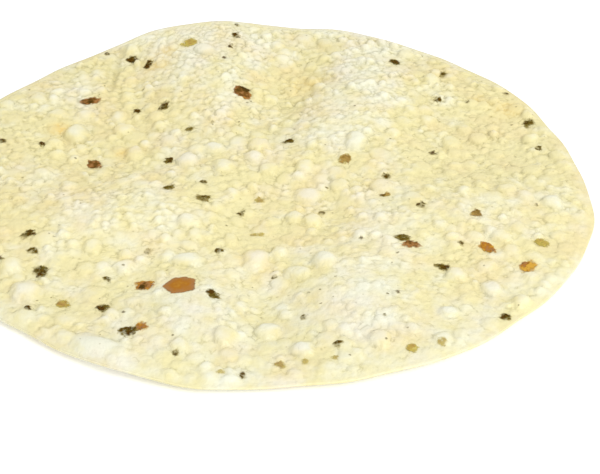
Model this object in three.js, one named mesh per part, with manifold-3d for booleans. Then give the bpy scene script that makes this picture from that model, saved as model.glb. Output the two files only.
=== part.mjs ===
// A papadum: a crisp fried round of lentil dough, thin, waved and blistered, with spice flakes in it.
// Millimetres, +Z up. Its low spots rest on z = 0, and the middle of its box stands on the Z axis.

import * as THREE from 'three';
import { mergeVertices } from 'three/addons/utils/BufferGeometryUtils.js';
import Module from 'manifold-3d';

// Driving dimensions of the sheet
const meanRadius = 90.5;
const sheetThickness = 1.1;
const rimThickness = 0.8;
const rimBand = 3.5; // width of the band in which the sheet thins and the blisters die away towards the rim
const standHeight = 2.4; // middle of the sheet above the table, before the waves
const underShare = 0.35; // share of a blister's rise that swells out of the underside
const netRings = 28; // rings of triangles from the middle to the rim

// Waves of the outline: number of lobes, swing of the radius, and the angle of a lobe in degrees
const outlineWaves = [
  { lobes: 2, swing: 3.3, turn: 0 },
  { lobes: 3, swing: 0.9, turn: -52 },
  { lobes: 4, swing: 0.5, turn: -8 },
  { lobes: 5, swing: 0.6, turn: -28 },
  { lobes: 8, swing: 0.5, turn: 75 },
  { lobes: 17, swing: 0.22, turn: 10 },
  { lobes: 29, swing: 0.14, turn: 50 },
];

// Broad swells of the sheet: place, rise, the spread each way, and turn in degrees
const swells = [
  { x: -17, y: 58, rise: 3, wide: 12, deep: 22, turn: 0 }, // crest at the back left
  { x: -27, y: 94, rise: 4.2, wide: 22, deep: 16, turn: 0 }, // raised flap of the back rim
  { x: -43, y: 82, rise: 1.2, wide: 6, deep: 9, turn: 0 }, // its upturned end
  { x: 23, y: 88, rise: 1, wide: 9, deep: 9, turn: 0 }, // lifted rim at the back
  { x: 29, y: 43, rise: 3, wide: 10, deep: 26, turn: -12 }, // ridge at the back
  { x: 6, y: 46, rise: -3, wide: 7, deep: 15, turn: -12 }, // valley between the two
  { x: -46, y: 17, rise: -2.5, wide: 16, deep: 14, turn: 15 }, // dip on the left
  { x: -38, y: -20, rise: 2.4, wide: 20, deep: 11, turn: 16 }, // ridge on the left
  { x: -31, y: -44, rise: -0.6, wide: 10, deep: 8, turn: 30 }, // dip before it
  { x: -33, y: -82, rise: 1.2, wide: 7, deep: 9, turn: 0 }, // lifted rim at the front left
  { x: -14, y: -60, rise: 2.3, wide: 10, deep: 12, turn: 0 }, // crest at the front left
  { x: 3, y: -54, rise: -3, wide: 8, deep: 13, turn: 0 }, // dip at the front
  { x: 27, y: -53, rise: 2.2, wide: 14, deep: 13, turn: 0 }, // crest at the front right
  { x: 60, y: -15, rise: 1.6, wide: 24, deep: 11, turn: 14 }, // ridge on the right
  { x: 10, y: -15, rise: -3.2, wide: 14, deep: 11, turn: 0 }, // dip in the middle
  { x: 64, y: 20, rise: -2.4, wide: 14, deep: 16, turn: 0 }, // dip on the right
  { x: 84, y: -42, rise: 0.8, wide: 14, deep: 14, turn: 0 }, // lifted rim at the front right
  { x: -42, y: 55, rise: -1.6, wide: 5, deep: 17, turn: 6 }, // crease beside the raised flap
];

// The largest blisters: place, size each way, rise, and turn in degrees
const largeBlisters = [
  { x: -55.5, y: 23.9, wide: 8, deep: 11, rise: 2.6, turn: 0 },
  { x: -36.9, y: 13.7, wide: 6.5, deep: 9, rise: 2.2, turn: 10 },
  { x: -21.2, y: 8.3, wide: 6, deep: 9, rise: 2.2, turn: -5 },
  { x: -13.7, y: 14.8, wide: 7.5, deep: 6, rise: 1.4, turn: 0 },
  { x: -10.3, y: 5.5, wide: 7.5, deep: 7, rise: 1.6, turn: 20 },
  { x: -1.8, y: 10.7, wide: 6, deep: 6, rise: 1.4, turn: 0 },
  { x: 0.3, y: -37.2, wide: 8.5, deep: 8.5, rise: 2.3, turn: 0 },
  { x: 18.2, y: -38.9, wide: 7.5, deep: 7.5, rise: 2, turn: 0 },
  { x: 11.4, y: -43.4, wide: 8, deep: 6.5, rise: 1.7, turn: -15 },
  { x: -17.7, y: -39.6, wide: 10.5, deep: 6.5, rise: 1.7, turn: 5 },
  { x: 4.1, y: -66.1, wide: 6.5, deep: 7.5, rise: 2, turn: 0 },
  { x: 12.6, y: -73.7, wide: 7, deep: 6.5, rise: 1.7, turn: 0 },
  { x: -58.2, y: -53.1, wide: 9, deep: 8.5, rise: 2.3, turn: -30 },
  { x: -38.3, y: -73.9, wide: 15, deep: 8, rise: 1.7, turn: -25 },
  { x: 61.1, y: -50, wide: 6, deep: 6.5, rise: 1.6, turn: 0 },
  { x: 49.5, y: -60, wide: 6, deep: 5.5, rise: 1.4, turn: 15 },
  { x: 28, y: 17.1, wide: 7, deep: 10, rise: 1.9, turn: -10 },
  { x: 13.9, y: -6.7, wide: 9, deep: 7, rise: 1.6, turn: 0 },
  { x: 10.1, y: -17.3, wide: 5.5, deep: 6.5, rise: 1.6, turn: 0 },
  { x: -43.6, y: 34.2, wide: 6.5, deep: 6.5, rise: 1.5, turn: 0 },
  { x: 81.9, y: -12.3, wide: 6, deep: 7, rise: 1.6, turn: 0 },
  { x: -19.4, y: 67.4, wide: 8.5, deep: 6.5, rise: 1.4, turn: -10 },
  { x: 61.1, y: 29.2, wide: 5, deep: 7, rise: 1.4, turn: 0 },
];

// Middling blisters, strewn over the lower parts of the sheet
const strewn = {
  seed: 7,
  fullnessSeed: 12,
  tries: 800,
  smallest: 3.2,
  largest: 5.2,
  highestLevel: 3.6, // they keep off the crests of the sheet above this level
  crowding: 0.95,
  spread: 1.35, // a blister's foot is wider than its room, so that neighbours meet in a crease
  highest: 1.7,
  roundness: 2.2, // wider blisters than this have a flat top
  rimMargin: 1,
  flakeRoom: 1.3,
};

// Flakes fused into the top: place, length, width, and turn in degrees
const chilliFlakes = [
  [-19.2, -50.9, 8.2, 7.2, 0],
  [-28.4, -49.8, 5.6, 3.8, 26],
  [-6.4, 45.6, 5.8, 5, -50],
  [-53.3, 41.8, 5.4, 4.2, 18],
  [-49, 8.3, 4.6, 3.8, 0],
  [61.7, -32.3, 4.8, 3.4, -85],
  [70.8, -40.7, 4, 4, -40],
  [41.8, -31.9, 4.6, 3.2, -25],
];
const pepperFlakes = [
  [-56.1, -44.9, 4.8, 4, 25],
  [-30, -68.3, 4.2, 3.4, 60],
  [-37.6, -58.6, 3.2, 2.8, 40],
  [-9.9, -54.2, 3.2, 3, -60],
  [48.9, -41.5, 3.8, 2.6, 10],
  [80.7, 31.7, 4.2, 2.8, 50],
  [42, 64.3, 3.4, 3, -80],
  [7.9, 18.8, 4.4, 2.6, 20],
  [-26.2, 9.9, 3.4, 2.2, 80],
  [-25.2, -6.5, 3.6, 2.2, 0],
  [-43.4, 66.4, 4.2, 3, -45],
  [-37.8, 62.7, 3.4, 2.6, 35],
  [-15.3, -11.1, 5.4, 2.4, -10],
  [-22.1, 25.2, 3, 2.6, 60],
  [39.3, -29.1, 5, 2.6, -10],
  [-30, 37.4, 3.6, 3, 60],
  [63.4, -61, 3, 2.2, 0],
  [-60.8, -29.5, 5, 2.8, 48],
];
const huskFlakes = [
  [77.2, -31.9, 5, 4.4, -10],
  [-24.5, 71.1, 5.8, 4.2, 22],
  [39.7, -73.1, 3.4, 3.4, -30],
  [-48.3, -57.2, 3.8, 3.6, 30],
  [35.2, -8.3, 3.4, 1.8, 5],
  [24.6, 7.4, 4.2, 2.6, 95],
  [59.6, -18.7, 3.8, 2.6, 80],
];
const flakes = [...chilliFlakes, ...pepperFlakes, ...huskFlakes];
const chip = { proud: 0.45, sunk: 0.6, corners: 6, unevenness: 0.22, seed: 21 };

const crustColour = 0xf1e7ba;

// Seeded draws from 0 to 1, the same on every run
function seededDraws(seed) {
  let state = seed;
  return () => {
    state = (state + 0x6d2b79f5) | 0;
    let mixed = Math.imul(state ^ (state >>> 15), state | 1);
    mixed ^= mixed + Math.imul(mixed ^ (mixed >>> 7), mixed | 61);
    return ((mixed ^ (mixed >>> 14)) >>> 0) / 4294967296;
  };
}

function outlineRadius(angle) {
  let radius = meanRadius;
  for (const { lobes, swing, turn } of outlineWaves) {
    radius += swing * Math.cos(lobes * (angle - THREE.MathUtils.degToRad(turn)));
  }
  return radius;
}

// Distance from the rim, inwards along the radius
function rimDistance(x, y) {
  return outlineRadius(Math.atan2(y, x)) - Math.hypot(x, y);
}

// An offset as seen from axes turned by so many degrees
function turnedOffset(dx, dy, turn) {
  const angle = THREE.MathUtils.degToRad(turn);
  return [dx * Math.cos(angle) + dy * Math.sin(angle), dy * Math.cos(angle) - dx * Math.sin(angle)];
}

// Middle surface of the sheet, held up where it would sink into the table
function sheetLevel(x, y) {
  let level = standHeight;
  for (const { x: cx, y: cy, rise, wide, deep, turn } of swells) {
    const [along, across] = turnedOffset(x - cx, y - cy, turn);
    level += rise * Math.exp(-0.5 * ((along / wide) ** 2 + (across / deep) ** 2));
  }
  return Math.max(level, sheetThickness / 2);
}

// Strewn blisters: each draw is kept where it has room between the flakes and the blisters before it
function strewnBlisters() {
  const draw = seededDraws(strewn.seed);
  const drawFullness = seededDraws(strewn.fullnessSeed);
  const kept = [
    ...largeBlisters.map(({ x, y, wide, deep }) => ({ x, y, size: (wide + deep) / 2 })),
    ...flakes.map(([x, y, long, wide]) => ({ x, y, size: (strewn.flakeRoom * (long + wide)) / 2 })),
  ];
  const found = [];
  for (let attempt = 0; attempt < strewn.tries; attempt++) {
    const angle = 2 * Math.PI * draw();
    const reach = (outlineRadius(angle) - strewn.rimMargin) * Math.sqrt(draw());
    const size = strewn.smallest + (strewn.largest - strewn.smallest) * draw() ** 2;
    const x = reach * Math.cos(angle);
    const y = reach * Math.sin(angle);
    const hasRoom = kept.every((other) => {
      const gap = (strewn.crowding * (size + other.size)) / 2;
      return Math.hypot(x - other.x, y - other.y) > gap;
    });
    if (hasRoom && sheetLevel(x, y) <= strewn.highestLevel) {
      kept.push({ x, y, size });
      found.push({ x, y, radius: (strewn.spread * size) / 2, fullness: 0.35 + drawFullness() });
    }
  }
  return found;
}

const middlingBlisters = strewnBlisters();

function largeRise(x, y, blister) {
  const [along, across] = turnedOffset(x - blister.x, y - blister.y, blister.turn);
  const inside = 1 - ((2 * along) / blister.wide) ** 2 - ((2 * across) / blister.deep) ** 2;
  return inside > 0 ? blister.rise * inside ** 0.75 : 0;
}

function middlingRise(x, y, blister) {
  const bulge = blister.radius ** 2 - (x - blister.x) ** 2 - (y - blister.y) ** 2;
  const share = 1 - Math.exp(-bulge / strewn.roundness ** 2);
  return bulge > 0 ? strewn.highest * blister.fullness * share : 0;
}

// Rise of the blisters above the sheet: the highest of the domes that cover the point
function blisterRise(x, y) {
  let highest = 0;
  for (const blister of largeBlisters) {
    highest = Math.max(highest, largeRise(x, y, blister));
  }
  for (const blister of middlingBlisters) {
    highest = Math.max(highest, middlingRise(x, y, blister));
  }
  return highest * THREE.MathUtils.smoothstep(rimDistance(x, y), 0, rimBand);
}

function halfThickness(x, y) {
  const inner = THREE.MathUtils.smoothstep(rimDistance(x, y), 0, rimBand);
  return THREE.MathUtils.lerp(rimThickness, sheetThickness, inner) / 2;
}

function topHeight(x, y) {
  return sheetLevel(x, y) + halfThickness(x, y) + blisterRise(x, y);
}

function underHeight(x, y) {
  return Math.max(0, sheetLevel(x, y) - halfThickness(x, y) - underShare * blisterRise(x, y));
}

// Upward normal of the waved sheet, taken without its blisters
function sheetNormal(x, y) {
  const step = sheetThickness;
  const slopeX = (sheetLevel(x + step, y) - sheetLevel(x - step, y)) / (2 * step);
  const slopeY = (sheetLevel(x, y + step) - sheetLevel(x, y - step)) / (2 * step);
  return new THREE.Vector3(-slopeX, -slopeY, 1).normalize();
}

// Number of the net's point: ring 0 is the middle, and ring k has six times k points
function netPoint(ring, step) {
  const stepsInRing = Math.max(1, 6 * ring);
  const pointsBefore = ring === 0 ? 0 : 1 + 3 * ring * (ring - 1);
  return pointsBefore + (step % stepsInRing);
}

// Triangles of the flat net, anticlockwise seen from above
function netTriangles() {
  const triangles = [];
  for (let ring = 1; ring <= netRings; ring++) {
    for (let sector = 0; sector < 6; sector++) {
      for (let step = 0; step < ring; step++) {
        const outer = netPoint(ring, sector * ring + step);
        const nextOuter = netPoint(ring, sector * ring + step + 1);
        const inner = netPoint(ring - 1, sector * (ring - 1) + step);
        triangles.push([outer, nextOuter, inner]);
        if (step < ring - 1) {
          const nextInner = netPoint(ring - 1, sector * (ring - 1) + step + 1);
          triangles.push([nextOuter, nextInner, inner]);
        }
      }
    }
  }
  return triangles;
}

// The sheet: the same net on both faces, joined round the rim
function sheetGeometry() {
  const top = [];
  const under = [];
  for (let ring = 0; ring <= netRings; ring++) {
    const stepsInRing = Math.max(1, 6 * ring);
    for (let step = 0; step < stepsInRing; step++) {
      const angle = (2 * Math.PI * step) / stepsInRing;
      const reach = (outlineRadius(angle) * ring) / netRings;
      const x = reach * Math.cos(angle);
      const y = reach * Math.sin(angle);
      top.push(x, y, topHeight(x, y));
      under.push(x, y, underHeight(x, y));
    }
  }
  const underStart = top.length / 3;
  const index = [];
  for (const [a, b, c] of netTriangles()) {
    index.push(a, b, c, underStart + a, underStart + c, underStart + b);
  }
  for (let step = 0; step < 6 * netRings; step++) {
    const here = netPoint(netRings, step);
    const next = netPoint(netRings, step + 1);
    index.push(here, underStart + here, next, next, underStart + here, underStart + next);
  }
  const geometry = new THREE.BufferGeometry();
  geometry.setAttribute('position', new THREE.Float32BufferAttribute([...top, ...under], 3));
  geometry.setIndex(index);
  geometry.computeVertexNormals();
  return geometry;
}

// A flat uneven chip with few corners, its top at z = proud and its bottom sunk below z = 0
function chipGeometry(long, wide, draw) {
  const corners = [];
  for (let corner = 0; corner < chip.corners; corner++) {
    const angle = (2 * Math.PI * corner) / chip.corners;
    const reach = (1 - chip.unevenness * draw()) / 2;
    corners.push(new THREE.Vector2(long * reach * Math.cos(angle), wide * reach * Math.sin(angle)));
  }
  const depth = chip.proud + chip.sunk;
  const geometry = new THREE.ExtrudeGeometry(new THREE.Shape(corners), { depth, bevelEnabled: false });
  return geometry.translate(0, 0, -chip.sunk);
}

// Chips laid on the sheet at the flakes' places, leaning with its waves
function laidChips(sheet) {
  const draw = seededDraws(chip.seed);
  const probe = new THREE.Raycaster();
  const down = new THREE.Vector3(0, 0, -1);
  const upwards = new THREE.Vector3(0, 0, 1);
  return flakes.map(([x, y, long, wide, turn]) => {
    probe.set(new THREE.Vector3(x, y, meanRadius), down);
    const [touch] = probe.intersectObject(sheet);
    const lean = new THREE.Quaternion().setFromUnitVectors(upwards, sheetNormal(x, y));
    return chipGeometry(long, wide, draw)
      .rotateZ(THREE.MathUtils.degToRad(turn))
      .applyQuaternion(lean)
      .translate(touch.point.x, touch.point.y, touch.point.z);
  });
}

const wasm = await Module();
wasm.setup();

function solidFrom(geometry) {
  const bare = geometry.clone();
  bare.deleteAttribute('normal');
  bare.deleteAttribute('uv');
  const merged = mergeVertices(bare);
  const mesh = new wasm.Mesh({
    numProp: 3,
    vertProperties: new Float32Array(merged.attributes.position.array),
    triVerts: new Uint32Array(merged.index.array),
  });
  return new wasm.Manifold(mesh);
}

function geometryFrom(solid) {
  const mesh = solid.getMesh();
  const geometry = new THREE.BufferGeometry();
  geometry.setAttribute('position', new THREE.BufferAttribute(mesh.vertProperties, 3));
  geometry.setIndex(new THREE.BufferAttribute(mesh.triVerts, 1));
  return geometry;
}

// The finished solid: the sheet with its chips fused on, the middle of its box over the origin
function papadumGeometry() {
  const sheet = sheetGeometry();
  let solid = solidFrom(sheet);
  for (const laid of laidChips(new THREE.Mesh(sheet))) {
    solid = solid.add(solidFrom(laid));
  }
  const geometry = geometryFrom(solid);
  geometry.computeBoundingBox();
  const { min, max } = geometry.boundingBox;
  geometry.translate(-(min.x + max.x) / 2, -(min.y + max.y) / 2, -min.z);
  geometry.computeVertexNormals();
  return geometry;
}

const crust = new THREE.MeshStandardMaterial({
  color: crustColour,
  roughness: 0.6,
  metalness: 0,
  flatShading: true,
});
const papadum = new THREE.Mesh(papadumGeometry(), crust);
papadum.name = 'papadum';

const part = new THREE.Group();
part.add(papadum);

export default part;
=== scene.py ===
# Looks of one fried papadum: a thin waved round, blistered all over, with spice flakes set in its top.
import math

import bpy
import numpy as np
from mathutils import Matrix, Vector


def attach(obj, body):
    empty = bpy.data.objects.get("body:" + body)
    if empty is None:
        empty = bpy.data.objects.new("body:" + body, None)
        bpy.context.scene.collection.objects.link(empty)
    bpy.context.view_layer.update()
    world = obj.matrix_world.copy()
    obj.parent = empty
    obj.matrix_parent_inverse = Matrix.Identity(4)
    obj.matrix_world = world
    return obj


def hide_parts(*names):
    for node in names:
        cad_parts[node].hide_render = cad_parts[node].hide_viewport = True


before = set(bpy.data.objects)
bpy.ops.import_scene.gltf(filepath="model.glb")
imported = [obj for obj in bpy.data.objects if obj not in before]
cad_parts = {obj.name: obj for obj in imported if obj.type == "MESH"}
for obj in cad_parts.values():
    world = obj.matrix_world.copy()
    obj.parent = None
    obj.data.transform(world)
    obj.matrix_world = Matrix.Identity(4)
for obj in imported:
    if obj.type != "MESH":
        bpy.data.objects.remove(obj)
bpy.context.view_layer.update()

mm = 0.001
tiny = 0.000001  # keeps a division away from nought
wordMask = 0xFFFFFFFF  # draws are worked out in 32 bits
half = (0.5, 0.5, 0.5)  # what a colour noise swings about
scene = bpy.context.scene


def seededDraws(seed):  # draws from 0 to 1, the same ones that strew the solid's blisters
    state = seed
    while True:
        state = (state + 0x6D2B79F5) & wordMask
        mixed = ((state ^ (state >> 15)) * (state | 1)) & wordMask
        mixed ^= (mixed + (mixed ^ (mixed >> 7)) * (mixed | 61)) & wordMask
        yield (mixed ^ (mixed >> 14)) / (wordMask + 1)


class Wire:  # a socket of a node tree, so that sums of sockets are written as sums
    def __init__(self, bench, socket):
        self.bench = bench
        self.socket = socket

    def __add__(self, other):
        return self.bench.maths("ADD", self, other)

    def __sub__(self, other):
        return self.bench.maths("SUBTRACT", self, other)

    def __rsub__(self, other):
        return self.bench.maths("SUBTRACT", other, self)

    def __mul__(self, other):
        return self.bench.maths("MULTIPLY", self, other)

    def __truediv__(self, other):
        return self.bench.maths("DIVIDE", self, other)

    def __rtruediv__(self, other):
        return self.bench.maths("DIVIDE", other, self)

    def __pow__(self, other):
        return self.bench.maths("POWER", self, other)

    __radd__ = __add__
    __rmul__ = __mul__


class Bench:  # adds nodes to one tree
    def __init__(self, tree):
        self.tree = tree

    def node(self, kind, settings=None, inputs=None):
        made = self.tree.nodes.new(kind)
        for name, value in (settings or {}).items():
            if name == "stops":
                self.setStops(made.color_ramp, value)
            else:
                setattr(made, name, value)
        for name, value in (inputs or {}).items():
            if isinstance(value, Wire):
                self.tree.links.new(value.socket, made.inputs[name])
            else:
                made.inputs[name].default_value = value
        return made

    def setStops(self, ramp, stops):
        while len(ramp.elements) < len(stops):
            ramp.elements.new(1.0)
        for element, (place, colour) in zip(ramp.elements, stops):
            element.position = place
            element.color = (*colour, 1.0)

    def wire(self, kind, settings=None, inputs=None, output=0):
        return Wire(self, self.node(kind, settings, inputs).outputs[output])

    def maths(self, operation, first, second=0.0):
        return self.wire("ShaderNodeMath", {"operation": operation}, {0: first, 1: second})

    def vectorMaths(self, operation, first, second, third=(0.0, 0.0, 0.0)):
        return self.wire("ShaderNodeVectorMath", {"operation": operation}, {0: first, 1: second, 2: third})

    def scaled(self, vector, factor):
        return self.wire("ShaderNodeVectorMath", {"operation": "SCALE"}, {0: vector, "Scale": factor})

    def split(self, vector):
        parts = self.node("ShaderNodeSeparateXYZ", None, {0: vector})
        return [Wire(self, output) for output in parts.outputs]

    def joined(self, x=0.0, y=0.0, z=0.0):
        return self.wire("ShaderNodeCombineXYZ", None, {0: x, 1: y, 2: z})

    def mapRange(self, value, low, high, newLow=0.0, newHigh=1.0):
        settings = {"interpolation_type": "SMOOTHSTEP"}
        return self.wire("ShaderNodeMapRange", settings, {0: value, 1: low, 2: high, 3: newLow, 4: newHigh})

    def exponent(self, value):
        return self.maths("EXPONENT", value)

    def noise(self, place, waves, detail=2.0, distortion=0.0, output="Fac"):  # so many waves a mm
        inputs = {"Vector": place, "Scale": waves / mm, "Detail": detail, "Distortion": distortion}
        return self.wire("ShaderNodeTexNoise", None, inputs, output)


class Painter(Bench):  # a material's node tree
    def __init__(self, name):
        self.material = bpy.data.materials.new(name)
        self.material.use_nodes = True
        super().__init__(self.material.node_tree)
        self.tree.nodes.clear()
        self.place = self.wire("ShaderNodeTexCoord", None, None, "Object")

    def look(self, name):  # an attribute of the piece's mesh
        return self.wire("ShaderNodeAttribute", {"attribute_name": name}, None, "Fac")

    def mixed(self, factor, first, second, blend="MIX"):  # 6, 7 and 2 are the node's colour sockets
        settings = {"data_type": "RGBA", "blend_type": blend}
        return self.wire("ShaderNodeMix", settings, {0: factor, 6: first, 7: second}, 2)

    def washed(self, factor, skin, colour):  # darkens or tints a colour
        return self.mixed(factor, skin, (*colour, 1.0), "MULTIPLY")

    def relief(self, height, strength, depth):  # a bump for the Normal socket, its depth in mm
        inputs = {"Height": height, "Strength": strength, "Distance": depth * mm}
        return self.wire("ShaderNodeBump", None, inputs)

    def end(self, sockets):
        shader = self.wire("ShaderNodeBsdfPrincipled", None, sockets)
        self.node("ShaderNodeOutputMaterial", None, {"Surface": shader})
        return self.material


class Shaper(Bench):  # a Geometry Nodes tree with named inputs, worked out into a plain mesh
    def __init__(self, name, sizes):
        super().__init__(bpy.data.node_groups.new(name, "GeometryNodeTree"))
        face = self.tree.interface
        face.new_socket("Geometry", in_out="INPUT", socket_type="NodeSocketGeometry")
        face.new_socket("Geometry", in_out="OUTPUT", socket_type="NodeSocketGeometry")
        self.values = {}
        for label, value in sizes.items():
            kind = "NodeSocketFloat" if isinstance(value, float) else "NodeSocketObject"
            socket = face.new_socket(label, in_out="INPUT", socket_type=kind)
            self.values[socket.identifier] = value
        self.start = self.node("NodeGroupInput")

    def given(self, label):
        return Wire(self, self.start.outputs[label])

    def attribute(self, name):
        return self.wire("GeometryNodeInputNamedAttribute", {"data_type": "FLOAT"}, {"Name": name})

    def position(self):
        return self.wire("GeometryNodeInputPosition")

    def meshOf(self, label):  # the mesh of a piece that is one of the inputs
        return self.wire("GeometryNodeObjectInfo", None, {"Object": self.given(label)}, "Geometry")

    def keep(self, geometry, name, value):
        settings = {"data_type": "FLOAT", "domain": "POINT"}
        inputs = {"Geometry": geometry, "Name": name, "Value": value}
        return self.wire("GeometryNodeStoreNamedAttribute", settings, inputs)

    def moved(self, geometry, **places):
        return self.wire("GeometryNodeSetPosition", None, {"Geometry": geometry, **places})

    def realized(self, geometry):
        return self.wire("GeometryNodeRealizeInstances", None, {"Geometry": geometry})

    def end(self, geometry, material):
        inputs = {"Geometry": self.realized(geometry), "Material": material}
        painted = self.wire("GeometryNodeSetMaterial", None, inputs)
        self.node("NodeGroupOutput", None, {"Geometry": painted})

    def workOut(self, piece):
        modifier = piece.modifiers.new("shape", "NODES")
        modifier.node_group = self.tree
        for identifier, value in self.values.items():
            modifier[identifier] = value
        shaped = piece.evaluated_get(bpy.context.evaluated_depsgraph_get())
        plain = bpy.data.meshes.new_from_object(shaped)
        piece.modifiers.remove(modifier)
        piece.data = plain
        plain.name = piece.name


def meshPiece(name, points, faces, **attributes):
    mesh = bpy.data.meshes.new(name)
    mesh.from_pydata(points, [], faces)
    for label, values in attributes.items():
        layer = mesh.attributes.new(label, "FLOAT", "POINT")
        layer.data.foreach_set("value", np.asarray(values, np.float32))
    piece = bpy.data.objects.new(name, mesh)
    scene.collection.objects.link(piece)
    return piece


# Outline and waves of the sheet, in mm, as in the solid
sheet = {
    "meanRadius": 90.5,
    "thickness": 1.1,
    "rimThickness": 0.8,
    "rimBand": 3.5,  # blisters die away towards the rim in this band
    "rimBulge": 0.12,
    "standHeight": 2.4,  # middle of the sheet above the floor, before the waves
    "underShare": 0.35,  # share of a blister's rise that swells out of the underside
    "topRings": 155,
    "underRings": 92,
    "rimSteps": 720,  # points of the outline from which its middle is found
}
outlineWaves = [  # lobes, swing, turn in degrees
    (2, 3.3, 0), (3, 0.9, -52), (4, 0.5, -8), (5, 0.6, -28), (8, 0.5, 75), (17, 0.22, 10), (29, 0.14, 50),
]
swells = [  # place, rise, spread each way and turn in degrees
    (-17, 58, 3.0, 12, 22, 0),  # crest at the back left
    (-27, 94, 4.2, 22, 16, 0),  # raised flap of the back rim
    (-43, 82, 1.2, 6, 9, 0),  # its upturned end
    (23, 88, 1.0, 9, 9, 0),  # lifted rim at the back
    (29, 43, 3.0, 10, 26, -12),  # ridge at the back
    (6, 46, -3.0, 7, 15, -12),  # valley between the back crest and ridge
    (-46, 17, -2.5, 16, 14, 15),  # dip on the left
    (-38, -20, 2.4, 20, 11, 16),  # ridge on the left
    (-31, -44, -0.6, 10, 8, 30),  # dip in front of it
    (-33, -82, 1.2, 7, 9, 0),  # lifted rim at the front left
    (-14, -60, 2.3, 10, 12, 0),  # crest at the front left
    (3, -54, -3.0, 8, 13, 0),  # dip at the front
    (27, -53, 2.2, 14, 13, 0),  # crest at the front right
    (60, -15, 1.6, 24, 11, 14),  # ridge on the right
    (10, -15, -3.2, 14, 11, 0),  # dip in the middle
    (64, 20, -2.4, 14, 16, 0),  # dip on the right
    (84, -42, 0.8, 14, 14, 0),  # lifted rim at the front right
    (-42, 55, -1.6, 5, 17, 6),  # crease beside the raised flap
]


def outlineRadius(angle):
    waves = sum(swing * np.cos(lobes * (angle - math.radians(turn))) for lobes, swing, turn in outlineWaves)
    return sheet["meanRadius"] + waves


rimAngles = np.linspace(0, 2 * math.pi, sheet["rimSteps"], endpoint=False)
rimPoints = outlineRadius(rimAngles) * np.array([np.cos(rimAngles), np.sin(rimAngles)])
sheetShift = -(rimPoints.min(axis=1) + rimPoints.max(axis=1)) / 2  # brings the box's middle over the origin

# Blisters: place, size each way, rise and turn in degrees
largeBlisters = [
    (-55.5, 23.9, 8, 11, 2.6, 0),
    (-36.9, 13.7, 6.5, 9, 2.2, 10),
    (-21.2, 8.3, 6, 9, 2.2, -5),
    (-13.7, 14.8, 7.5, 6, 1.4, 0),
    (-10.3, 5.5, 7.5, 7, 1.6, 20),
    (-1.8, 10.7, 6, 6, 1.4, 0),
    (0.3, -37.2, 8.5, 8.5, 2.3, 0),
    (18.2, -38.9, 7.5, 7.5, 2, 0),
    (11.4, -43.4, 8, 6.5, 1.7, -15),
    (-17.7, -39.6, 10.5, 6.5, 1.7, 5),
    (4.1, -66.1, 6.5, 7.5, 2, 0),
    (12.6, -73.7, 7, 6.5, 1.7, 0),
    (-58.2, -53.1, 9, 8.5, 2.3, -30),
    (-38.3, -73.9, 15, 8, 1.7, -25),
    (61.1, -50, 6, 6.5, 1.6, 0),
    (49.5, -60, 6, 5.5, 1.4, 15),
    (28, 17.1, 7, 10, 1.9, -10),
    (13.9, -6.7, 9, 7, 1.6, 0),
    (10.1, -17.3, 5.5, 6.5, 1.6, 0),
    (-43.6, 34.2, 6.5, 6.5, 1.5, 0),
    (81.9, -12.3, 6, 7, 1.6, 0),
    (-19.4, 67.4, 8.5, 6.5, 1.4, -10),
    (61.1, 29.2, 5, 7, 1.4, 0),
]
largeShape = {
    "blunt": 0.75,  # below 1 the foot of a dome is steep
    "tint": 1.3,
    "tintSwing": 0.5,
}
strewn = {
    "seed": 7,
    "tintSeed": 12,
    "crowding": 0.95,
    "spread": 1.35,  # a blister's foot is wider than its room, so that neighbours meet in a crease
    "rimMargin": 1.0,
    "sizePower": 2,  # above 1 small sizes come more often
    "flakeRoom": 1.3,  # room kept for a flake, as a share of its size
    "cell": 4.0,  # side of the squares in which the taken spots are kept
    "leastFull": 0.35,  # this and a blister's tint, which is drawn from 0 to 1, give its fullness
    "lifeWaves": 0.1,  # the small blisters rise and sink in patches, by a noise of so many waves a mm
    "lifeNoise": (0.36, 0.64),
    "lifeSwing": (-0.8, 0.45),
    "leastLife": 0.3,
    "gainReach": 80.0,  # they also gain in height to the back, over so many mm
    "gainLean": 0.4,  # and a little to the left
}
strewnClasses = [  # highest is how high the sheet may lie under them
    {"draws": 800, "smallest": 3.2, "largest": 5.2, "highest": 3.6,
     "rise": 1.7, "roundness": 2.2, "patchiness": 0.0, "gain": 0.1},
    {"draws": 12000, "smallest": 2.1, "largest": 3.2, "highest": 5.6,
     "rise": 1.1, "roundness": 1.5, "patchiness": 1.0, "gain": 0.32},
    {"draws": 50000, "smallest": 1.2, "largest": 2.1, "highest": 9.0,
     "rise": 0.7, "roundness": 1.0, "patchiness": 1.0, "gain": 0.32},
]

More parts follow.
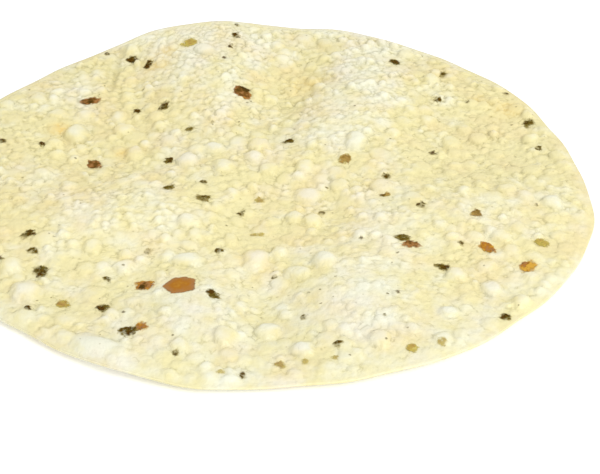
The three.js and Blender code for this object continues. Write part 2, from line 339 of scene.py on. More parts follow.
# Flakes: place, length, width, turn in degrees and tint
chilliFlakes = [
    (-19.2, -50.9, 8.2, 7.2, 0, 0.84),
    (-28.4, -49.8, 5.6, 3.8, 26, 0.58),
    (-6.4, 45.6, 5.8, 5, -50, 0.3),
    (-53.3, 41.8, 5.4, 4.2, 18, 0.35),
    (-49, 8.3, 4.6, 3.8, 0, 0.3),
    (61.7, -32.3, 4.8, 3.4, -85, 0.7),
    (70.8, -40.7, 4, 4, -40, 0.85),
    (41.8, -31.9, 4.6, 3.2, -25, 0.3),
]
pepperFlakes = [
    (-56.1, -44.9, 4.8, 4, 25, 0.2),
    (-30, -68.3, 4.2, 3.4, 60, 0.15),
    (-37.6, -58.6, 3.2, 2.8, 40, 0.35),
    (-9.9, -54.2, 3.2, 3, -60, 0.35),
    (48.9, -41.5, 3.8, 2.6, 10, 0.3),
    (80.7, 31.7, 4.2, 2.8, 50, 0.4),
    (42, 64.3, 3.4, 3, -80, 0.15),
    (7.9, 18.8, 4.4, 2.6, 20, 0.4),
    (-26.2, 9.9, 3.4, 2.2, 80, 0.35),
    (-25.2, -6.5, 3.6, 2.2, 0, 0.35),
    (-43.4, 66.4, 4.2, 3, -45, 0.25),
    (-37.8, 62.7, 3.4, 2.6, 35, 0.25),
    (-15.3, -11.1, 5.4, 2.4, -10, 0.42),
    (-22.1, 25.2, 3, 2.6, 60, 0.6),
    (39.3, -29.1, 5, 2.6, -10, 0.4),
    (-30, 37.4, 3.6, 3, 60, 0.25),
    (63.4, -61, 3, 2.2, 0, 0.3),
    (-60.8, -29.5, 5, 2.8, 48, 0.3),
]
huskFlakes = [
    (77.2, -31.9, 5, 4.4, -10, 0.65),
    (-24.5, 71.1, 5.8, 4.2, 22, 0.88),
    (39.7, -73.1, 3.4, 3.4, -30, 1.05),
    (-48.3, -57.2, 3.8, 3.6, 30, 0.4),
    (35.2, -8.3, 3.4, 1.8, 5, 0.15),
    (24.6, 7.4, 4.2, 2.6, 95, 0.32),
    (59.6, -18.7, 3.8, 2.6, 80, 0.33),
]

# Flakes too small for the solid: place, length and width
smallChilli = [(-27.2, -67.4, 3, 3.4)]
smallPepper = [
    (81.9, 17.5, 2.6, 3), (56.9, 59.2, 2.6, 2.7), (-38.9, 37.1, 2.8, 2.7), (44.9, -14.1, 2.5, 2.7),
    (50.4, 15.3, 2.1, 2.2), (-1.4, -83.4, 1.9, 2.2), (-56.2, -60.2, 2.1, 2.2), (-64.9, 17.7, 2, 2.4),
    (-58.9, -36.6, 2.8, 2.4), (36.2, 0.9, 2.4, 2.7), (17.6, -14.9, 2, 2.1), (54.6, -31.6, 2, 2.2),
    (21.3, -73.1, 2.2, 2.2), (-18, -76.8, 1.7, 1.8), (-28.4, -36, 2.2, 2.7),
    (-9.6, -35, 2.3, 2.5), (-15.8, -2.9, 2, 2), (-4.8, -16.2, 2.2, 2.4), (-9.9, 77.4, 2.6, 3),
    (-11.5, 70.4, 2, 2.4), (-13.1, 63.1, 1.5, 1.8), (-51.4, 68.6, 1.7, 2.1), (75.8, 48.4, 2, 1.5),
    (-38, -47.4, 2.6, 1.8), (5.1, -44.5, 1.5, 1.8), (36.8, -53.5, 1.4, 1.7), (28.2, -29.3, 1.2, 1.5),
    (77.1, -13.7, 1, 1.4), (12.8, -61.9, 1.8, 2.2), (53.9, 43.9, 2.8, 2.4), (56.5, 44.7, 1.1, 1.4),
    (63.2, 43, 1.1, 1.4), (-76.7, 18.3, 2.2, 2.7), (-66.9, -39.3, 1.5, 1.8), (-9.9, 84.1, 1.6, 1.8),
]
smallHusk = [
    (46.6, -71.4, 2.4, 2.2), (0.5, -9.1, 2.5, 2.4), (0.2, -25.9, 4.4, 1.5), (13.3, -78.5, 1.8, 2.1),
    (-6.9, -83, 1.8, 1.5), (7.3, -79.8, 3, 2.4), (20.5, -77.2, 1.9, 1.5),
]


def hump(exponent, x, y, middleX, middleY, wide, deep, turn=0.0):  # 1 in the middle, for numbers or sockets
    cosine, sine = math.cos(math.radians(turn)), math.sin(math.radians(turn))
    along = ((x - middleX) * cosine + (y - middleY) * sine) / wide
    across = ((y - middleY) * cosine - (x - middleX) * sine) / deep
    return exponent((along ** 2 + across ** 2) * -0.5)


def sheetLevel(x, y):  # height of the middle of the sheet
    level = sheet["standHeight"]
    for middleX, middleY, rise, wide, deep, turn in swells:
        level += rise * hump(math.exp, x, y, middleX, middleY, wide, deep, turn)
    return max(level, sheet["thickness"] / 2)


def drawnSpot(draws, rimMargin, smallest, largest, sizePower):  # a place on the sheet and a size
    angle = 2 * math.pi * next(draws)
    reach = (outlineRadius(angle) - rimMargin) * math.sqrt(next(draws))
    size = smallest + (largest - smallest) * next(draws) ** sizePower
    return reach * math.cos(angle), reach * math.sin(angle), size


class Room:  # which spots of the sheet are taken, kept in square cells so that few need looking at
    def __init__(self):
        self.cells = {}

    def cell(self, place):
        return math.floor(place / strewn["cell"])

    def take(self, x, y, size, reach):
        for column in range(self.cell(x - reach), self.cell(x + reach) + 1):
            for row in range(self.cell(y - reach), self.cell(y + reach) + 1):
                self.cells.setdefault((column, row), []).append((x, y, size))

    def isFree(self, x, y, size):
        for takenX, takenY, width in self.cells.get((self.cell(x), self.cell(y)), []):
            if math.hypot(x - takenX, y - takenY) <= strewn["crowding"] * (size + width) / 2:
                return False
        return True


def strewnBlisters(room, draws, kind):  # each draw is kept where it has room and the sheet isn't too high
    limits = (strewn["rimMargin"], kind["smallest"], kind["largest"], strewn["sizePower"])
    found = []
    for attempt in range(kind["draws"]):
        x, y, size = drawnSpot(draws, *limits)
        if room.isFree(x, y, size) and sheetLevel(x, y) <= kind["highest"]:
            room.take(x, y, size, size / 2 + kind["largest"] / 2)
            found.append((x, y, strewn["spread"] * size / 2))
    return np.array(found)


def blisterPoints(name, x, y, lift, **sizes):
    draws = seededDraws(strewn["tintSeed"])
    tint = [next(draws) for place in x]
    piece = meshPiece(name, np.column_stack([x, y, lift]) * mm, [], tint=tint, **sizes)
    piece.hide_render = True
    return piece


def largePoints():
    x, y, wide, deep, rise, turn = np.array(largeBlisters, float).T
    sizes = {"wide": wide * mm, "deep": deep * mm, "rise": rise * mm, "turn": np.radians(turn)}
    return blisterPoints("large_blisters", x, y, 0 * x, **sizes)


def strewnPoints():  # lifted so that the nearest point is that of the blister which stands highest there
    room = Room()
    widest = max(kind["largest"] for kind in strewnClasses)
    for x, y, wide, deep, rise, turn in largeBlisters:
        room.take(x, y, (wide + deep) / 2, (wide + deep) / 4 + widest / 2)
    for x, y, long, wide, turn, tint in chilliFlakes + pepperFlakes + huskFlakes:
        size = strewn["flakeRoom"] * (long + wide) / 2
        room.take(x, y, size, size / 2 + widest / 2)
    draws = seededDraws(strewn["seed"])
    for number, kind in enumerate(strewnClasses):
        x, y, radius = strewnBlisters(room, draws, kind).T
        lift = np.sqrt(radius.max() ** 2 - radius ** 2)
        same = {"rise": kind["rise"] * mm, "roundness": kind["roundness"] * mm,
                "patchiness": kind["patchiness"], "gain": kind["gain"]}
        sizes = {label: np.full(len(x), value) for label, value in same.items()}
        yield blisterPoints("strewn_blisters_%d" % number, x, y, lift, radius=radius * mm, **sizes)


def netFaces(rings, first, upward):  # triangles of a round net whose ring k has six times k points
    def point(ring, step):
        return first + (0 if ring == 0 else 1 + 3 * ring * (ring - 1) + step % (6 * ring))

    faces = []
    for ring in range(1, rings + 1):
        for sector in range(6):
            for step in range(ring):
                outer, inner = sector * ring + step, sector * (ring - 1) + step
                corner, beside = point(ring, outer + 1), point(ring - 1, inner)
                faces.append((point(ring, outer), corner, beside))
                if step < ring - 1:
                    faces.append((corner, point(ring - 1, inner + 1), beside))
    return faces if upward else [face[::-1] for face in faces]


def netPoints(rings):
    places = [(0.0, 0.0)]
    for ring in range(1, rings + 1):
        angles = 2 * math.pi * np.arange(6 * ring) / (6 * ring)
        reach = outlineRadius(angles) * ring / rings
        places += zip(reach * np.cos(angles), reach * np.sin(angles))
    return np.array(places)


def stitch(upper, lower):  # triangles between two closed loops of points, the upper one above
    faces = []
    above, below = 0, 0  # steps taken along each loop
    while above < len(upper) or below < len(lower):
        here, there = upper[above % len(upper)], lower[below % len(lower)]
        isUpperNext = (above + 1) * len(lower) <= (below + 1) * len(upper)
        if below >= len(lower) or (above < len(upper) and isUpperNext):
            above += 1
            faces.append((here, there, upper[above % len(upper)]))
        else:
            below += 1
            faces.append((here, there, lower[below % len(lower)]))
    return faces


def flatSheet():  # both faces of the sheet and its rim, still flat; side is 1 on top and -1 below
    top, under = netPoints(sheet["topRings"]), netPoints(sheet["underRings"])
    rimCount = 6 * sheet["topRings"]
    rim = top[-rimCount:] * (1 + sheet["rimBulge"] / sheet["meanRadius"])
    places = np.vstack([top, rim, under])
    side = np.repeat([1.0, 0.0, -1.0], [len(top), len(rim), len(under)])
    rimStart, underStart = len(top), len(top) + len(rim)
    topLoop = range(rimStart - rimCount, rimStart)
    rimLoop = range(rimStart, underStart)
    underLoop = range(len(places) - 6 * sheet["underRings"], len(places))
    faces = netFaces(sheet["topRings"], 0, True) + netFaces(sheet["underRings"], underStart, False)
    faces += stitch(topLoop, rimLoop) + stitch(rimLoop, underLoop)
    rimGap = outlineRadius(np.arctan2(places[:, 1], places[:, 0])) - np.hypot(places[:, 0], places[:, 1])
    points = np.column_stack([places, np.zeros(len(places))]) * mm
    return meshPiece("papadum_sheet", points, faces, side=side, rimGap=np.maximum(rimGap, 0) * mm)


def sampler(shaper, cloud, place):  # reads attributes of the nearest point of a cloud
    nearest = shaper.wire("GeometryNodeSampleNearest", None, {"Geometry": cloud, "Sample Position": place})

    def sampled(name):
        if name == "place":
            kind, value = "FLOAT_VECTOR", shaper.position()
        else:
            kind, value = "FLOAT", shaper.attribute(name)
        inputs = {"Geometry": cloud, "Value": value, "Index": nearest}
        return shaper.wire("GeometryNodeSampleIndex", {"data_type": kind}, inputs)

    return sampled


def largeDome(shaper, cloud, place):
    sampled = sampler(shaper, cloud, place)
    awayX, awayY, awayZ = shaper.split(shaper.vectorMaths("SUBTRACT", place, sampled("place")))
    cosine, sine = shaper.maths("COSINE", sampled("turn")), shaper.maths("SINE", sampled("turn"))
    along, across = awayX * cosine + awayY * sine, awayY * cosine - awayX * sine
    gap = (2 * along / sampled("wide")) ** 2 + (2 * across / sampled("deep")) ** 2
    inside = shaper.maths("MAXIMUM", 1 - gap, 0.0)
    tint = sampled("tint") * largeShape["tintSwing"] + largeShape["tint"]
    return {"rise": sampled("rise") * inside ** largeShape["blunt"], "inside": inside, "tint": tint}


def strewnDome(shaper, cloud, place):
    sampled = sampler(shaper, cloud, place)
    awayX, awayY, awayZ = shaper.split(shaper.vectorMaths("SUBTRACT", place, sampled("place")))
    radius, tint = sampled("radius"), sampled("tint")
    bulge = shaper.maths("MAXIMUM", radius ** 2 - awayX ** 2 - awayY ** 2, 0.0)
    rise = sampled("rise") * (1 - shaper.exponent(bulge / sampled("roundness") ** 2 * -1))
    patch = shaper.noise(place, strewn["lifeWaves"], 1.0)
    patch = shaper.mapRange(patch, *strewn["lifeNoise"], *strewn["lifeSwing"])
    x, y, z = shaper.split(place)
    gain = (y - strewn["gainLean"] * x) / (strewn["gainReach"] * mm) * sampled("gain")
    life = shaper.maths("MAXIMUM", 1 + patch * sampled("patchiness") + gain, strewn["leastLife"])
    return {"rise": rise * (strewn["leastFull"] + tint) * life, "inside": bulge / radius ** 2, "tint": tint}


# Marks on the crust, in mm
marks = {
    "wander": [(0.2, 1.3), (0.5, 0.6), (1.1, 0.3)],  # waves a mm, and how far they push a blister's outline
    "foldDepth": 0.7,
    "folds": [  # fine grooves in the top: place, spread along and across, turn in degrees
        (-46, 70, 3.2, 0.5, 72),
        (-47.3, 57.5, 6, 0.5, 88.5),
    ],
    "toast": [  # amber spots: place, spread and strength
        (-61.0, 26.5, 2.0, 1.2),
        (-40.9, 14.7, 2.2, 0.7),
        (-35.1, 61.3, 3.0, 0.8),
        (-31.5, 68.8, 2.2, 0.6),
        (12.9, 53.6, 4.0, 0.6),
        (67.7, 45, 2.0, 0.5),
        (75.6, 39.8, 3.5, 0.7),
        (-62, -15, 16, 0.1),
        (-32, 44, 12, 0.06),
    ],
    "tone": [  # paler parts, and yellower ones with a strength below nought
        (-38, -74, 7, 0.35),
        (-6, -58, 17, 0.40),
        (24, -23, 12, 0.20),
        (4, -18, 10, -0.35),
        (-60, -19, 12, -0.30),
        (-30, 44, 12, -0.20),
        (66, -15, 18, -0.20),
        (80, 6, 10, -0.15),
        (62, 22, 20, -0.2),
        (73, 42, 6, -0.5),
        (-38, -12, 15, 0.12),
        (38, 46, 16, 0.18),
        (58, -48, 14, -0.16),
    ],
}


def spots(exponent, x, y, rows):
    return sum(strength * hump(exponent, x, y, middleX, middleY, wide, wide)
               for middleX, middleY, wide, strength in rows)


def highestBlister(shaper, clouds, position):
    place = position  # pushed about, so that the blisters aren't round
    for waves, push in marks["wander"]:
        noise = shaper.noise(position, waves, 1.0, output="Color")
        centred = shaper.vectorMaths("SUBTRACT", noise, half)
        place = shaper.vectorMaths("MULTIPLY_ADD", centred, (2 * push * mm, 2 * push * mm, 0.0), place)
    highest = {"rise": 0.0, "inside": 0.0, "tint": 0.0}
    for cloud in clouds:
        shape = largeDome if cloud.name == "large_blisters" else strewnDome
        dome = shape(shaper, shaper.meshOf(cloud.name), place)
        higher = shaper.maths("GREATER_THAN", dome["rise"], highest["rise"])
        highest = {label: highest[label] * (1 - higher) + dome[label] * higher for label in highest}
    return highest


def sheetShaper(material, clouds):
    shaper = Shaper("papadum sheet", {
        "Stand height": sheet["standHeight"] * mm,
        "Sheet thickness": sheet["thickness"] * mm,
        "Rim thickness": sheet["rimThickness"] * mm,
        "Rim band": sheet["rimBand"] * mm,
        "Under share": sheet["underShare"],
        **{cloud.name: cloud for cloud in clouds},
    })
    position = shaper.position()
    x, y, z = shaper.split(position)
    here = (shaper.exponent, x / mm, y / mm)  # what humps are worked out from
    inner = shaper.mapRange(shaper.attribute("rimGap"), 0.0, shaper.given("Rim band"))  # 0 at the rim
    thickness = shaper.given("Rim thickness") * (1 - inner) + shaper.given("Sheet thickness") * inner
    level = shaper.given("Stand height")
    for middleX, middleY, rise, wide, deep, turn in swells:
        level = level + rise * mm * hump(*here, middleX, middleY, wide, deep, turn)
    level = shaper.maths("MAXIMUM", level, shaper.given("Sheet thickness") / 2)
    highest = highestBlister(shaper, clouds, position)
    blister = highest["rise"] * inner
    fold = sum(hump(*here, *row) for row in marks["folds"]) * inner

    top = level + thickness / 2 + blister - marks["foldDepth"] * mm * fold
    under = shaper.maths("MAXIMUM", level - thickness / 2 - shaper.given("Under share") * blister, 0.0)
    side = shaper.attribute("side")
    isTop = shaper.maths("GREATER_THAN", side, 0.5)
    isUnder = shaper.maths("LESS_THAN", side, -0.5)
    height = isTop * top + isUnder * under + (1 - isTop - isUnder) * level
    raised = shaper.joined(x + sheetShift[0] * mm, y + sheetShift[1] * mm, height)

    looks = {
        "blister": blister / mm,
        "level": level / mm,
        "inside": highest["inside"],
        "tint": highest["tint"],
        "toast": spots(*here, marks["toast"]),
        "tone": spots(*here, marks["tone"]),
        "fold": fold,
    }
    shaped = shaper.given("Geometry")
    for label, value in looks.items():
        shaped = shaper.keep(shaped, label, value)
    shaped = shaper.moved(shaped, Position=raised)
    shaped = shaper.wire("GeometryNodeSetShadeSmooth", None, {"Geometry": shaped})
    shaper.end(shaped, material)
    return shaper


# Colours of the crust; ranges are in mm of the sheet's level or a blister's rise, and those inside
# a blister go from 0 at its foot to 1 at its top
crust = {
    "yellow": (0.843, 0.764, 0.41),
    "pale": (0.865, 0.848, 0.655),
    "toast": (0.82, 0.61, 0.21),
    "warmWash": (1.0, 0.945, 0.94),
    "coolWash": (0.955, 0.968, 1.0),
    # colours of the painted shade in the creases and in the pits between blisters
    "creaseShadeWash": (0.785, 0.785, 0.725),
    "pitShadeWash": (0.62, 0.61, 0.52),
    "crestLevel": (2.6, 4.6),
    "dipLevel": (2.4, 0.8),
    "crownInside": (0.5, 0.95),
    "crownRise": (0.2, 1.2),
    "footInside": (0.0, 0.08),
    "creaseInside": (0.1, 0.65),
    "pitInside": (0.05, 0.4),
    "rimFrom": 0.3,  # creases start so far from the rim
    "leastPale": 0.2,  # shares of the pale colour
    "crownPale": 0.08,
    "crownTintPale": 0.24,
    "tintPale": 0.15,
    # crests are paler, partly for their finer, paler grain and partly as painted light on the high parts of
    # the sheet
    "crestPale": 0.42,
    "dipYellow": 0.25,
    "blotches": [(0.04, 1.5), (0.16, 1.9), (0.38, 0.6)],  # waves a mm and strength
    "warmWaves": 0.09,
    "warmNoise": (0.38, 0.75),
    "coolFront": (-25, -70),  # the front is a little cooler, between these places
    "creaseShade": 0.36,
    "crestCrease": 0.1,
    "dullShade": 0.22,  # blisters of low tint are duller, less so on crests
    "crestClear": 0.5,
    "backShade": 0.65,  # the shading between blisters deepens to the back
    "backReach": 80,
    "foldShade": 1.6,
    "pitWaves": 0.3,
    "pitNoise": (0.5, 0.62),
    "pitShade": 0.55,
    "crestPit": 0.2,
    "amberShare": 0.6,  # share of the amber tint that doesn't keep to creases
    "curlWaves": 0.75,
    "curlTwist": 1.2,
    "cellWaves": 0.8,
    "cellShare": 0.8,
    "crownSmooth": 0.7,
    "bumpStrength": 0.65,
    "bumpDepth": 0.3,
    "roughness": 0.42,
    "specular": 0.45,
}


def crustMaterial():
    painter = Painter("crust")
    place, ranged, noise = painter.place, painter.mapRange, painter.noise
    level, inside, tint = painter.look("level"), painter.look("inside"), painter.look("tint")
    crest = ranged(level, *crust["crestLevel"])  # where the sheet stands high
    crown = ranged(inside, *crust["crownInside"]) * ranged(painter.look("blister"), *crust["crownRise"])
    foot = ranged(inside, *crust["footInside"])  # 0 on the bare sheet between blisters and at the rim
    foot = foot * ranged(painter.look("rimGap"), crust["rimFrom"] * mm, sheet["rimBand"] * mm)
    crease = foot * (1 - ranged(inside, *crust["creaseInside"]))
    along, away, up = painter.split(place)

    pale = crust["leastPale"] + crown * (crust["crownPale"] + crust["crownTintPale"] * tint)
    # paler on crests: partly their own grain, partly painted light
    pale = pale + crust["tintPale"] * (tint - 0.5) + crust["crestPale"] * crest
    pale = pale - crust["dipYellow"] * ranged(level, *crust["dipLevel"]) + painter.look("tone")
    for waves, strength in crust["blotches"]:
        pale = pale + strength * (noise(place, waves) - 0.5)
    pale = painter.maths("MAXIMUM", painter.maths("MINIMUM", pale, 1.0), 0.0)
    skin = painter.mixed(pale, (*crust["yellow"], 1.0), (*crust["pale"], 1.0))

    warm = ranged(noise(place, crust["warmWaves"], 3.0), *crust["warmNoise"])
    skin = painter.washed(warm, skin, crust["warmWash"])
    front, frontEnd = crust["coolFront"]
    skin = painter.washed(ranged(away, front * mm, frontEnd * mm), skin, crust["coolWash"])
    # painted shade: darker in the creases between blisters and along the fold grooves, deeper towards the
    # back
    dull = crust["dullShade"] * painter.maths("ABSOLUTE", 1 - tint) * (1 - crust["crestClear"] * crest)
    shade = crease * (crust["creaseShade"] + crust["crestCrease"] * crest) + dull
    shade = shade * (1 + crust["backShade"] * away / (crust["backReach"] * mm))
    shade = shade + crust["foldShade"] * painter.look("fold")
    skin = painter.washed(shade, skin, crust["creaseShadeWash"])
    # painted shade in the pits where blisters meet, lighter on crests
    pit = foot * (1 - ranged(inside, *crust["pitInside"]))
    pit = pit * ranged(noise(place, crust["pitWaves"], 1.0), *crust["pitNoise"])
    skin = painter.washed(pit * (crust["pitShade"] - crust["crestPit"] * crest), skin, crust["pitShadeWash"])
    # an orange-brown tint in spots, kept partly to creases
    toast = painter.look("toast") * (crust["amberShare"] + (1 - crust["amberShare"]) * crease)
    skin = painter.mixed(toast, skin, (*crust["toast"], 1.0))

    curl = noise(place, crust["curlWaves"], 2.0, crust["curlTwist"])
    cells = painter.wire("ShaderNodeTexVoronoi", None, {"Vector": place, "Scale": crust["cellWaves"] / mm})
    grain = curl + crust["cellShare"] * (1 - cells) * (1 - crust["crownSmooth"] * crown)
    return painter.end({
        "Base Color": skin,
        "Roughness": crust["roughness"],
        "Specular IOR Level": crust["specular"],
        "Normal": painter.relief(grain, crust["bumpStrength"], crust["bumpDepth"]),
    })


print("papadum: blisters")
clouds = [largePoints(), *strewnPoints()]
papadumSheet = flatSheet()
sheetShaper(crustMaterial(), clouds).workOut(papadumSheet)
for cloud in clouds:
    bpy.data.objects.remove(cloud)
print("papadum: sheet has", len(papadumSheet.data.polygons), "triangles")
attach(papadumSheet, "root")
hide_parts("papadum")

# Flakes, in mm
flake = {
    "thickness": 0.5,
    "thickShare": 0.4,  # the narrowest flakes are as thick as this share of their width
    "sides": 10,
    "point": 0.55,  # how sharp the pointed end is
    "domed": 0.8,  # how much thinner it is at the edge
    "wholeFrom": 7.5,  # longer flakes are whole, shorter ones are clumps of crumbs
    "roughEdge": 0.3,  # how ragged crumbs and whole flakes are, as a share of their size
    "wholeEdge": 0.06,
    "roughScale": 1.9,
    "softBand": 2.0,  # the edges of crumbs and whole flakes fade into the dough in these bands
    "wholeBand": 1.2,
    "softShare": (0.1, 0.6),
    "crumbDrift": 0.5,  # how far apart crumbs lie, as a share of the flake's size
    "crumbSize": 0.6,
    "crumbSwing": 0.3,
    "crumbTurn": 70,
    "crumbTint": 0.6,
    "smallTurn": 60,
    "coverLength": (0.4, 2.2),  # from the finest specks, which half show, to fully seen flakes
    "cover": (0.35, 1.0),
    "dropFrom": 20,  # height from which they are dropped on the sheet
    "mottleWaves": 0.7,
    "fibreWaves": 1.2,
    "fibreEdge": 1.6,  # how far fibres fray the fading edge
    "tintShift": -0.1,
    "evenRough": 0.15,  # rougher flakes are lighter at the edge, smoother ones darker
    "edgeFrom": 0.3,
    "thinBand": 0.16,
    "thinCover": 0.3,  # share of a flake's cover that is left where it is thin
    "bumpStrength": 0.6,
    "bumpDepth": 0.15,
    "specular": 0.03,
}
specks = {
    "seed": 31,
    "count": 260,
    "smallest": 0.3,
    "largest": 0.8,
    "sizePower": 3,
    "rimMargin": 1.5,
    "long": 1.25,  # length and width as shares of the size
    "wide": 0.8,
}


def speckRows():
    draws = seededDraws(specks["seed"])
    limits = [specks[name] for name in ("rimMargin", "smallest", "largest", "sizePower")]
    rows = []
    for number in range(specks["count"]):
        x, y, size = drawnSpot(draws, *limits)
        rows.append((x, y, size * specks["long"], size * specks["wide"]))
    return rows


def crumbled(row, count, draws):  # the clump of overlapping crumbs that makes a flake
    x, y, long, wide, turn, tint = row
    cosine, sine = math.cos(math.radians(turn)), math.sin(math.radians(turn))
    for number in range(count):
        along = flake["crumbDrift"] * long * (next(draws) - 0.5)
        across = flake["crumbDrift"] * wide * (next(draws) - 0.5)
        share = flake["crumbSize"] + flake["crumbSwing"] * next(draws)
        flip = 180 * (next(draws) > 0.5)
        place = (x + along * cosine - across * sine, y + along * sine + across * cosine)
        crumbTurn = turn + flake["crumbTurn"] * (next(draws) - 0.5) + flip
        crumbTint = tint + flake["crumbTint"] * (next(draws) - 0.5)
        yield (*place, share * long, share * wide, crumbTurn, crumbTint)


def flakePoints(name, looks):
    draws = seededDraws(looks["seed"])
    rows = []
    for row in looks["large"]:
        isWhole = row[2] > flake["wholeFrom"]
        rows += [row] if isWhole else crumbled(row, looks["crumbs"], draws)
    low, high = looks["smallTint"]
    for row in looks["small"]:
        turn = flake["smallTurn"] * (next(draws) - 0.5)
        rows.append((*row, turn, low + (high - low) * next(draws)))
    x, y, long, wide, turn, tint = np.array(rows, float).T
    points = np.column_stack([x + sheetShift[0], y + sheetShift[1], flake["dropFrom"] + 0 * x]) * mm
    cover = np.interp(long, flake["coverLength"], flake["cover"])
    cover[-len(looks["small"]):] *= looks["smallCover"]
    isWhole = long > flake["wholeFrom"]
    rough = np.where(isWhole, flake["wholeEdge"], flake["roughEdge"])
    fade = np.where(isWhole, flake["wholeBand"], flake["softBand"])
    soft = np.clip(fade / long, *flake["softShare"])  # share of the chip that fades out at its edge
    grown = (1 + soft / 2) * mm  # half of the fade lies outside the flake's own size
    sizes = {"long": long * grown, "wide": wide * grown, "turn": np.radians(turn)}
    return meshPiece(name, points, [], tint=tint, cover=cover, soft=soft, rough=rough, **sizes)


def chipShape(shaper):  # a round chip made into a slab with a pointed end, thinner at the edge
    chip = shaper.wire("GeometryNodeMeshCylinder", {"fill_type": "TRIANGLE_FAN"},
                       {"Vertices": flake["sides"], "Fill Segments": 2, "Radius": 0.5, "Depth": 1.0})
    spot = shaper.position()
    along, across, up = shaper.split(spot)
    edge = 2 * (across ** 2 + along ** 2) ** 0.5
    chip = shaper.keep(chip, "edge", edge)
    chip = shaper.keep(chip, "up", up * (1 - flake["domed"] * edge ** 2))
    aside = shaper.maths("ABSOLUTE", across)
    pointed = shaper.maths("MAXIMUM", aside, shaper.given("Point") * aside - along)
    reach = shaper.maths("MAXIMUM", along, pointed)
    return shaper.moved(chip, Position=shaper.scaled(spot, edge / (2 * reach + tiny)))


def flakeShaper(name, material):  # lays a ragged chip at each point and drapes it over the sheet
    shaper = Shaper(name, {"Sheet": papadumSheet, "Thickness": flake["thickness"] * mm,
                           "Point": flake["point"], "Rough scale": flake["roughScale"]})
    long, wide = shaper.attribute("long"), shaper.attribute("wide")
    turned = shaper.joined(z=shaper.attribute("turn"))
    turned = shaper.wire("FunctionNodeEulerToRotation", None, {0: turned})
    laid = shaper.wire("GeometryNodeInstanceOnPoints", None, {
        "Points": shaper.given("Geometry"),
        "Instance": chipShape(shaper),
        "Rotation": turned,
        "Scale": shaper.joined(long, wide),
    })
    chips = shaper.realized(laid)

    grain = shaper.scaled(shaper.position(), shaper.given("Rough scale") / long)
    noise = shaper.wire("ShaderNodeTexNoise", None, {"Vector": grain, "Scale": 1.0, "Detail": 1.0}, "Color")
    level = shaper.vectorMaths("MULTIPLY", shaper.vectorMaths("SUBTRACT", noise, half), (1, 1, 0))
    chips = shaper.moved(chips, Offset=shaper.scaled(level, shaper.attribute("rough") * (long + wide)))

    drop = {"Target Geometry": shaper.meshOf("Sheet"), "Ray Direction": (0, 0, -1)}
    landed = shaper.wire("GeometryNodeRaycast", None, drop, "Hit Position")
    thin = shaper.maths("MINIMUM", shaper.given("Thickness"), wide * flake["thickShare"])
    raised = shaper.joined(z=shaper.attribute("up") * thin)
    shaper.end(shaper.moved(chips, Position=landed, Offset=raised), material)
    return shaper


def flakeMaterial(name, looks):
    painter = Painter(name)
    ranged = painter.mapRange
    edge, soft, rough = painter.look("edge"), painter.look("soft"), painter.look("rough")
    mottle = painter.noise(painter.place, flake["mottleWaves"])
    fibre = painter.noise(painter.place, flake["fibreWaves"])
    tone = painter.look("tint") + looks["mottle"] / flake["roughEdge"] * rough * (mottle - 0.5)
    tone = tone + flake["tintShift"]
    tone = tone + looks["edgeTone"] * (rough - flake["evenRough"]) * ranged(edge, flake["edgeFrom"], 1.0)
    ragged = edge + flake["fibreEdge"] * soft * (fibre - 0.5)
    cover = painter.look("cover") * ranged(ragged, 1.0, 1 - soft)
    thinFrom = looks["thinFrom"]
    cover = cover * ranged(mottle, thinFrom, thinFrom + flake["thinBand"], 1.0, flake["thinCover"])
    return painter.end({
        "Base Color": painter.wire("ShaderNodeValToRGB", {"stops": looks["stops"]}, {"Fac": tone}),
        "Roughness": looks["roughness"],
        "Specular IOR Level": flake["specular"],
        "Normal": painter.relief(fibre, flake["bumpStrength"], flake["bumpDepth"]),
        "Alpha": cover,
    })


kinds = {
    "chilli": {
        "large": chilliFlakes, "small": smallChilli, "crumbs": 3, "seed": 3, "roughness": 0.5, "mottle": 1.5,
        "thinFrom": 0.9, "edgeTone": 2.4, "smallTint": (0.65, 0.75), "smallCover": 1.0,
        "stops": [(0.0, (0.070, 0.036, 0.002)), (0.3, (0.19, 0.085, 0.014)), (0.55, (0.38, 0.18, 0.06)),
                  (0.72, (0.41, 0.16, 0.014)), (1.0, (0.64, 0.36, 0.05))],
    },
    "pepper": {
        "large": pepperFlakes, "small": smallPepper + speckRows(), "crumbs": 4, "seed": 5, "roughness": 0.75,
        "mottle": 2.0, "thinFrom": 0.44, "edgeTone": 4.8, "smallTint": (0.1, 0.5), "smallCover": 1.0,
        "stops": [(0.0, (0.085, 0.040, 0.003)), (0.42, (0.15, 0.11, 0.014)), (0.8, (0.38, 0.30, 0.10))],
    },
    "husk": {
        "large": huskFlakes, "small": smallHusk, "crumbs": 2, "seed": 9, "roughness": 0.6, "mottle": 1.2,
        "thinFrom": 0.56, "edgeTone": 2.4, "smallTint": (0.6, 0.95), "smallCover": 0.65,
        "stops": [(0.0, (0.15, 0.090, 0.012)), (0.4, (0.40, 0.25, 0.07)), (0.8, (0.53, 0.42, 0.09)),
                  (1.0, (0.60, 0.50, 0.15))],
    },
}
for kind, looks in kinds.items():
    flakes = flakePoints(kind + "_flakes", looks)
    flakeShaper(kind + " flakes", flakeMaterial(kind, looks)).workOut(flakes)
    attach(flakes, "root")
    print("papadum:", kind, "flakes have", len(flakes.data.polygons), "faces")

# The view: the eye's place from the middle of the rim and its lens, in mm, and its turns, in degrees
view = {
    "aside": 11.8,
    "distance": 400.0,
    "elevation": 34.3,
    "rimHeight": 2.9,
    "pitch": 36.7,
    "roll": 0.6,
    "lens": 84.0,
    "sensor": 36.0,
    "clip": (10.0, 20000.0),
}


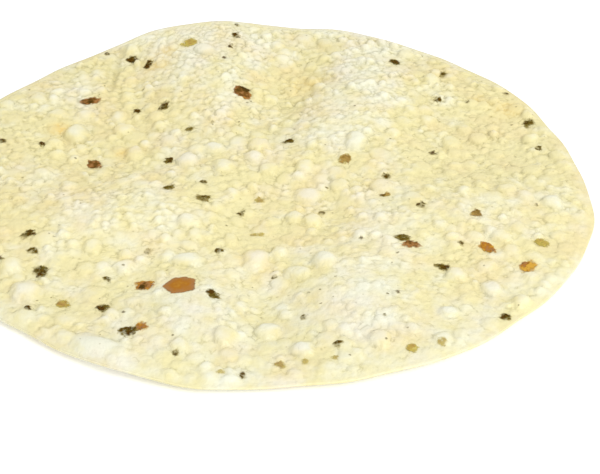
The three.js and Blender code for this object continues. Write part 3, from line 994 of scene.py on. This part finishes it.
def makeCamera():
    elevation, pitch, roll = (math.radians(view[name]) for name in ("elevation", "pitch", "roll"))
    eye = Vector((view["aside"] + sheetShift[0],
                  -view["distance"] * math.cos(elevation) + sheetShift[1],
                  view["distance"] * math.sin(elevation) + view["rimHeight"])) * mm
    forward = Vector((0, math.cos(pitch), -math.sin(pitch)))
    level = Vector((1, 0, 0))
    upright = Vector((0, math.sin(pitch), math.cos(pitch)))
    right = math.cos(roll) * level + math.sin(roll) * upright
    up = math.cos(roll) * upright - math.sin(roll) * level
    data = bpy.data.cameras.new("camera")
    data.sensor_fit = "HORIZONTAL"
    data.sensor_width = view["sensor"]
    data.lens = view["lens"]
    data.clip_start, data.clip_end = (distance * mm for distance in view["clip"])
    camera = bpy.data.objects.new("camera", data)
    camera.matrix_world = Matrix((right, up, -forward)).transposed().to_4x4()
    camera.location = eye
    scene.collection.objects.link(camera)
    scene.camera = camera


# Floor and light, in metres and watts
studio = {
    "floorSize": 6.0,
    "floorWhite": 0.93,
    "floorGlow": 0.2,
    "floorRoughness": 0.9,
    "skyStrength": 0.82,
    "keyWatts": 10.8,
    "keySize": 0.6,
    "keyPlace": (0.72, -0.86, 1.0),
}
white = (1, 1, 1, 1)


def makeFloor():
    size = studio["floorSize"] / 2
    corners = [(-size, -size, 0), (size, -size, 0), (size, size, 0), (-size, size, 0)]
    floor = meshPiece("floor", corners, [(0, 1, 2, 3)])
    paper = bpy.data.materials.new("floor_paper")
    paper.use_nodes = True
    sockets = paper.node_tree.nodes["Principled BSDF"].inputs
    sockets["Base Color"].default_value = (studio["floorWhite"],) * 3 + (1,)
    sockets["Roughness"].default_value = studio["floorRoughness"]
    sockets["Emission Color"].default_value = white
    sockets["Emission Strength"].default_value = studio["floorGlow"]
    floor.data.materials.append(paper)


def makeLight():
    world = bpy.data.worlds.new("studio")
    world.use_nodes = True
    sky = world.node_tree.nodes["Background"].inputs
    sky["Color"].default_value = white
    sky["Strength"].default_value = studio["skyStrength"]
    scene.world = world
    lamp = bpy.data.lights.new("key", "AREA")
    lamp.energy = studio["keyWatts"]
    lamp.size = studio["keySize"]
    key = bpy.data.objects.new("key", lamp)
    key.location = studio["keyPlace"]
    key.rotation_mode = "QUATERNION"
    key.rotation_quaternion = (-Vector(studio["keyPlace"])).to_track_quat("-Z", "Y")
    scene.collection.objects.link(key)
    scene.view_settings.view_transform = "Standard"


makeCamera()
makeFloor()
makeLight()
print("papadum: camera and light")
